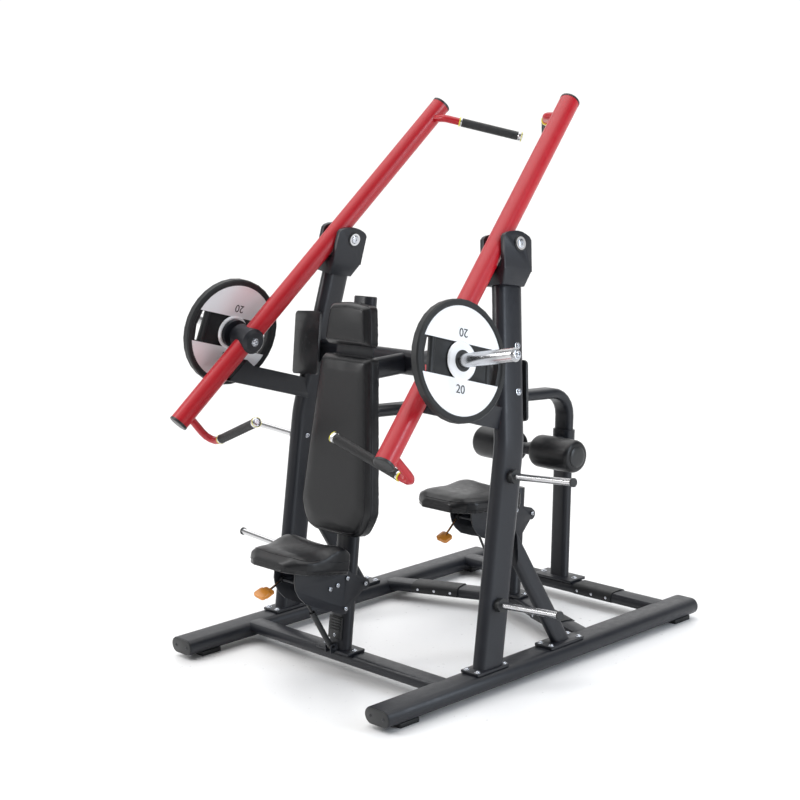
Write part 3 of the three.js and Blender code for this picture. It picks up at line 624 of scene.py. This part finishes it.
# The cover ends below the lowest place the carriage's front wheel rolls to.
cover.prism(rounded(76, 85, 6), mast_at(0, 28.2, 84.5), X, MAST_UP, 5)
for k in range(5):
    cover.prism(rounded(60, 6, 2.8), mast_at(0, 32, 76 + k * 11), X, MAST_UP, 6.5)
cover.build("front_mast_cover", PLASTIC, "frame_body", bevel=1.2)
Shape().bolt(mast_at(0, 33, 57), MAST_OUT, 5, 4, 7).build("mast_cover_screw", ZINC, "frame_body")

plug = Shape()
plug.prism(rounded(96, 52, 25), mast_at(0, 0, 1317.5), X, -MAST_OUT, 3.5)
plug.build("front_mast_plug", PLASTIC, "frame_body", bevel=1.2)
carrier = Shape()
carrier.prism(rounded(206, 66, 5), mast_at(0, 29, 1120), X, MAST_UP, 6)
carrier.build("pad_carrier_plate", PAINT, "frame_body", bevel=1)


def placard_marks(at, up, out):
    """Four dark discs in a diamond, painted shade where blind holes would be, and two shallow ribs across a
    placard.
    """
    z = out.normalized()
    side = up.cross(out).normalized()
    y = z.cross(side)
    face = at + z * 10
    hole_shade_discs, ribs = Shape(), Shape()
    # Each hole is a disc standing 0.35 proud, made dark as painted shade instead of cut as a recess.
    for a, b in ((22, 0), (-22, 0), (0, 22), (0, -22)):
        hole_shade_discs.turned(face + side * a + y * b, z, [(-1, 3.4), (0.35, 3.4), (0.35, 0)], 16)
    for b in (52, 86):
        ribs.prism(rounded(150, 1.6, 0.7), face + y * b, side, y, 0.5)
    return hole_shade_discs, ribs


for label, at, up, out in (("front", V(-516, -150, 1149), V(-0.06, 0.2, 0.98), V(0, -1, 0.2)),
                           ("rear", V(490, -27, 1035), V(-0.15, 0.2, 0.97), V(0, 1, -0.2))):
    hole_shade_discs, ribs = placard_marks(at, up, out)
    # The placard holes are dark discs of painted shade.
    hole_shade_discs.build(f"{label}_placard_hole_shade_discs", INK_AND_HOLE_SHADE, "frame_body")
    ribs.build(f"{label}_placard_ribs", PLACARD, "frame_body")

# ---------------------------------------------------------------- seat carriages and height levers
SEATS = {
    "front": {"foot_y": -493, "lean": 0.17, "height": 350, "pitch": 12, "paddle": (334, -60),
              "block_shift": 16, "pad_end": 358, "crown": 30},
    "rear": {"foot_y": 403, "lean": 0.12, "height": 427, "pitch": 6, "paddle": (338, -86),
             "block_shift": -2, "pad_end": 432, "crown": 10},
}


def seat_axes(seat):
    """The carriage's origin on its mast, and the seat's forward and upward directions."""
    mast = V(0, seat["lean"], 1).normalized()
    origin = V(0, seat["foot_y"], DECK) + mast * ((seat["height"] - DECK) / mast.z)
    c, s = math.cos(math.radians(seat["pitch"])), math.sin(math.radians(seat["pitch"]))
    return origin, V(0, -c, s), V(0, s, c)


for prefix, seat in SEATS.items():
    o, f, w = seat_axes(seat)
    bolts = Shape()
    for a, b in ((47, 7), (91, -19), (125.5, -32), (-43.5, -14), (41, -107)):
        for k in (1, -1):
            bolts.bolt(o + f * a + w * b + X * (68.1 if k > 0 else -56.1), X * k, 5.5, 4.5, 8)
    bolts.build(f"{prefix}_carriage_bolts", ZINC, f"{prefix}_seat_body")

    # The lever's rod is black from 38 mm off the paddle, which a thicker amber block covers.
    cad_paddle = o - X * 44 + f * seat["paddle"][0] + w * seat["paddle"][1]
    centre = cad_paddle + f * seat["block_shift"] - w * 3
    lever = nodes[f"{prefix}_height_lever"].data
    lever.materials.append(PLASTIC)
    for face in lever.polygons:
        face.material_index = int((face.center / MM - cad_paddle).length > 38)
    px, py, pz = basis(V(0.25, -0.35, 1), X)
    paddle = Shape()
    paddle.prism(rounded(54, 47, 12), centre - pz * 7.5, px, py, 15)
    paddle.build(f"{prefix}_height_paddle", AMBER, f"{prefix}_lever_body", bevel=4, angle=60)


# ---------------------------------------------------------------- upholstery
def soften(node_name, body, hold, cap, shrink=3, crown=None):
    """Stuffed copy of a CAD pad. It is remeshed, raised by crown(p), drawn in by shrink, and swelled by
    cloth pressure up to cap millimetres. hold(p) is 1 where it is fixed."""
    mesh = nodes[node_name].data.copy()
    outward(mesh, WELD)
    mesh.materials.clear()
    mesh.materials.append(LEATHER)
    obj = linked(f"{node_name}_cover", mesh)
    remesh = obj.modifiers.new("remesh", "REMESH")
    remesh.mode = "VOXEL"
    remesh.voxel_size = 0.006
    solid = evaluated_mesh(obj)
    obj.modifiers.clear()
    obj.data = solid
    if crown:
        for v in solid.vertices:
            v.co += crown(v.co / MM) * MM
    group = obj.vertex_groups.new(name="held")
    held = [hold(v.co / MM) for v in solid.vertices]
    beside = [[] for _ in solid.vertices]
    for edge in solid.edges:
        a, b = edge.vertices
        beside[a].append(b)
        beside[b].append(a)

    def relaxed(values, rounds):
        """Values evened out over the surface; they stay as they are where the piece is held."""
        for _ in range(rounds):
            values = [v if held[k] else
                      v * 0.4 + sum((values[m] for m in beside[k]), v * 0) * (0.6 / len(beside[k]))
                      for k, v in enumerate(values)]
        return values

    rounded_form = relaxed([v.co.copy() for v in solid.vertices], 4)
    for v, co in zip(solid.vertices, rounded_form):
        v.co = co
        group.add([v.index], held[v.index], "REPLACE")
    solid.update()
    normals = [v.normal.copy() for v in solid.vertices]
    for v, normal in zip(solid.vertices, normals):
        v.co -= normal * shrink * MM * (1 - held[v.index])
    rest = [v.co.copy() for v in solid.vertices]
    cloth = obj.modifiers.new("cloth", "CLOTH")
    settings = cloth.settings
    settings.quality = 5
    settings.mass = 0.3
    settings.tension_stiffness = 25
    settings.compression_stiffness = 25
    settings.bending_stiffness = 5
    settings.vertex_group_mass = "held"
    settings.use_pressure = True
    settings.uniform_pressure_force = 4
    settings.effector_weights.gravity = 0
    cloth.point_cache.frame_start = 1
    cloth.point_cache.frame_end = 20
    for number in range(1, 21):
        scene.frame_set(number)
    swelled = obj.evaluated_get(bpy.context.evaluated_depsgraph_get()).to_mesh()
    swell = [min(cap * MM, max(0.0, (v.co - a).dot(normal)))
             for v, a, normal in zip(swelled.vertices, rest, normals)]
    obj.modifiers.clear()
    scene.frame_set(1)
    for v, a, normal, d in zip(solid.vertices, rest, normals, relaxed(swell, 24)):
        v.co = a + normal * d
    for face in solid.polygons:
        face.use_smooth = True
    finer = obj.modifiers.new("finer", "SUBSURF")
    finer.levels = 1
    finer.render_levels = 1
    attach(obj, body)
    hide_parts(node_name)
    return obj


def on_surface(obj, path, lift=0.3):
    """The path laid on the piece's surface."""
    laid = []
    for p in path:
        _, co, normal, _ = obj.closest_point_on_mesh(p * MM)
        laid.append(co / MM + normal * lift)
    return laid


def behind_pad(p):
    return 1.0 if (p - mast_at(0, 34, 0)).dot(MAST_OUT) < 0 else 0.0


lower = soften("lower_back_pad", "frame_body", behind_pad, 7)
upper = soften("upper_back_pad", "frame_body", behind_pad, 6)


def pad_loop(outline, f, inset):
    """Closed path round a pad outline drawn in; outline is [x, along the mast]."""
    cx = sum(x for x, _ in outline) / len(outline)
    cy = sum(y for _, y in outline) / len(outline)
    hx = max(abs(x - cx) for x, _ in outline)
    hy = max(abs(y - cy) for _, y in outline)
    points = []
    for i, (x, y) in enumerate(outline):
        nx, ny = outline[(i + 1) % len(outline)]
        steps = max(1, int(math.hypot(nx - x, ny - y) / 16))
        for k in range(steps):
            px, py = x + (nx - x) * k / steps, y + (ny - y) * k / steps
            points.append(mast_at(cx + (px - cx) * (1 - inset / hx), f, cy + (py - cy) * (1 - inset / hy)))
    return points


LOWER_SIDE = [(150, 446), (186, 480), (199, 540), (186, 700), (162, 900), (138, 1096), (130, 1104)]
LOWER_OUTLINE = [*LOWER_SIDE, *[(-x, y) for x, y in reversed(LOWER_SIDE)], (-100, 440), (100, 440)]
UPPER_OUTLINE = [(130, 1142), (128, 1136), (-128, 1136), (-130, 1142), (-112, 1276), (-96, 1290), (0, 1299),
                 (96, 1290), (112, 1276)]
for label, obj, outline in (("lower", lower, LOWER_OUTLINE), ("upper", upper, UPPER_OUTLINE)):
    for suffix, f, inset, r in (("front", 91, 20, 1.7), ("rim", 68, 0, 1.9)):
        loop = on_surface(obj, pad_loop(outline, f, inset))
        Shape().tube(loop, r, 8, closed=True).build(
            f"{label}_pad_{suffix}_piping", PIPING, "frame_body", angle=80)


SEAT_HALF, SEAT_BACK = 165, 85   # half the pad's width, and the pad's back edge before the mast


def squarish(s):
    """Draws a circle's sine or cosine out towards a square with rounded corners."""
    return math.copysign(abs(s) ** 0.45, s)


for prefix, seat in SEATS.items():
    o, f, w = seat_axes(seat)

    def under_seat(p, o=o, w=w):
        return 1.0 if (p - o).dot(w) < 42 else 0.0

    def fuller_back(p, o=o, f=f, w=w, rise=seat["crown"]):
        """Rise of the pad's top, most at 150 mm before the mast and none at the sides and below."""
        a, b, k = (p - o).dot(f), (p - o).dot(w), abs(p.x) / 172
        return w * (rise * math.exp(-((a - 150) / 85) ** 2) * max(0, 1 - k * k)
                    * min(1, max(0, (b - 60) / 35)))

    pad = soften(f"{prefix}_seat_pad", f"{prefix}_seat_body", under_seat, 8, shrink=4, crown=fuller_back)
    middle, half = (SEAT_BACK + seat["pad_end"]) / 2, (seat["pad_end"] - SEAT_BACK) / 2
    for label, height, inset in (("rim", 56, 0), ("crown", 86, 10)):
        path = []
        for k in range(96):
            a = 2 * math.pi * k / 96
            px = squarish(math.cos(a)) * (SEAT_HALF - inset)
            py = middle + squarish(math.sin(a)) * (half - inset)
            path.append(o + X * px + f * py + w * height)
        Shape().tube(on_surface(pad, path), 1.3, 8, closed=True).build(
            f"{prefix}_seat_{label}_piping", PIPING, f"{prefix}_seat_body", angle=80)

# ---------------------------------------------------------------- thigh rollers
ROLLER_Y, ROLLER_Z = 545, 657


def roller_cover(s):
    s.turned(V(54, ROLLER_Y, ROLLER_Z), X, [
        (0, 13), (0, 47), (1.5, 54), (5, 59.5), (11, 63.5), (20, 65.6), (60, 66.4), (107, 66.7), (154, 66.4),
        (195, 65.6), (204, 63.5), (210, 59.5), (213.5, 54), (215, 47), (215, 13)], 56)


def roller_discs(s):
    s.turned(V(268, ROLLER_Y, ROLLER_Z), X, [
        (0.5, 13.5), (0.5, 42), (3, 42), (6, 38), (8, 28), (8.6, 14), (8.6, 0)], 40)


covers = pair("roller_cover", LEATHER, "SIDE_roller_body", roller_cover, angle=60)
for side, obj in zip(("right", "left"), covers):
    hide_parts(f"{side}_thigh_roller")
pair("roller_end_discs", PLASTIC, "SIDE_roller_body", roller_discs)

# ---------------------------------------------------------------- floor, light and world
floor_mesh = bpy.data.meshes.new("floor")
floor_mesh.from_pydata([(-60, -60, 0), (60, -60, 0), (60, 60, 0), (-60, 60, 0)], [], [(0, 1, 2, 3)])
floor = linked("floor", floor_mesh)
floor_mesh.materials.append(material("studio_floor", (0.90, 0.90, 0.90), 0.32, mottle=0.01, grain=60,
                                     depth=0.00001, specular=0.35))

world = bpy.data.worlds.new("studio")
world.use_nodes = True
tree = world.node_tree
direction = tree.nodes.new("ShaderNodeTexCoord").outputs["Generated"]


def ramp(value, start, stop, low, high):
    """Goes smoothly from low to high as the value goes from start to stop."""
    spread = tree.nodes.new("ShaderNodeMapRange")
    spread.interpolation_type = "SMOOTHSTEP"
    for socket, number in (("From Min", start), ("From Max", stop), ("To Min", low), ("To Max", high)):
        spread.inputs[socket].default_value = number
    tree.links.new(value, spread.inputs["Value"])
    return spread.outputs["Result"]


def facing(axis):
    """How far the direction turns towards the axis."""
    dot = tree.nodes.new("ShaderNodeVectorMath")
    dot.operation = "DOT_PRODUCT"
    dot.inputs[1].default_value = axis
    tree.links.new(direction, dot.inputs[0])
    return dot.outputs["Value"]


def combined(operation, *values):
    node = tree.nodes.new("ShaderNodeMath")
    node.operation = operation
    for socket, value in zip(node.inputs, values):
        tree.links.new(value, socket)
    return node.outputs["Value"]


# A bright wall behind and to the left, a bright ceiling, and a pale band at the horizon.
upright = tree.nodes.new("ShaderNodeSeparateXYZ")
tree.links.new(direction, upright.inputs[0])
horizon = ramp(combined("ABSOLUTE", upright.outputs["Z"]), 0.14, 0.30, 0.92, 0.0)
wall = ramp(facing((-0.754, 0.657, 0)), 0.35, 0.85, 0.11, 1.05)
ceiling = ramp(facing((0, 0, 1)), 0.55, 0.9, 0.08, 1.15)
strength = combined("MAXIMUM", combined("MAXIMUM", wall, ceiling), horizon)
tree.links.new(strength, tree.nodes["Background"].inputs["Strength"])
tree.nodes["Background"].inputs["Color"].default_value = (1, 1, 1, 1)
scene.world = world
scene.view_settings.view_transform = "Standard"

sun_data = bpy.data.lights.new("sky_panel", "SUN")
sun_data.energy = 1.6
sun_data.angle = math.radians(75)
sun = linked("sky_panel", sun_data)
sun.rotation_euler = V(0.25, -0.15, -1).to_track_quat("-Z", "Y").to_euler()


def softbox(name, at, size, power, colour=(1, 1, 1)):
    """Rectangular light aimed at the machine's middle."""
    data = bpy.data.lights.new(name, "AREA")
    data.shape = "RECTANGLE"
    data.size, data.size_y = size
    data.energy = power
    data.color = colour
    obj = linked(name, data)
    obj.location = at
    obj.rotation_euler = (Z - at).to_track_quat("-Z", "Y").to_euler()


softbox("key", V(-3.0, -4.0, 4.0), (1.2, 3), 110)
softbox("side", V(4.8, 1.2, 2.6), (1.0, 3.5), 110, (0.80, 0.89, 1.0))
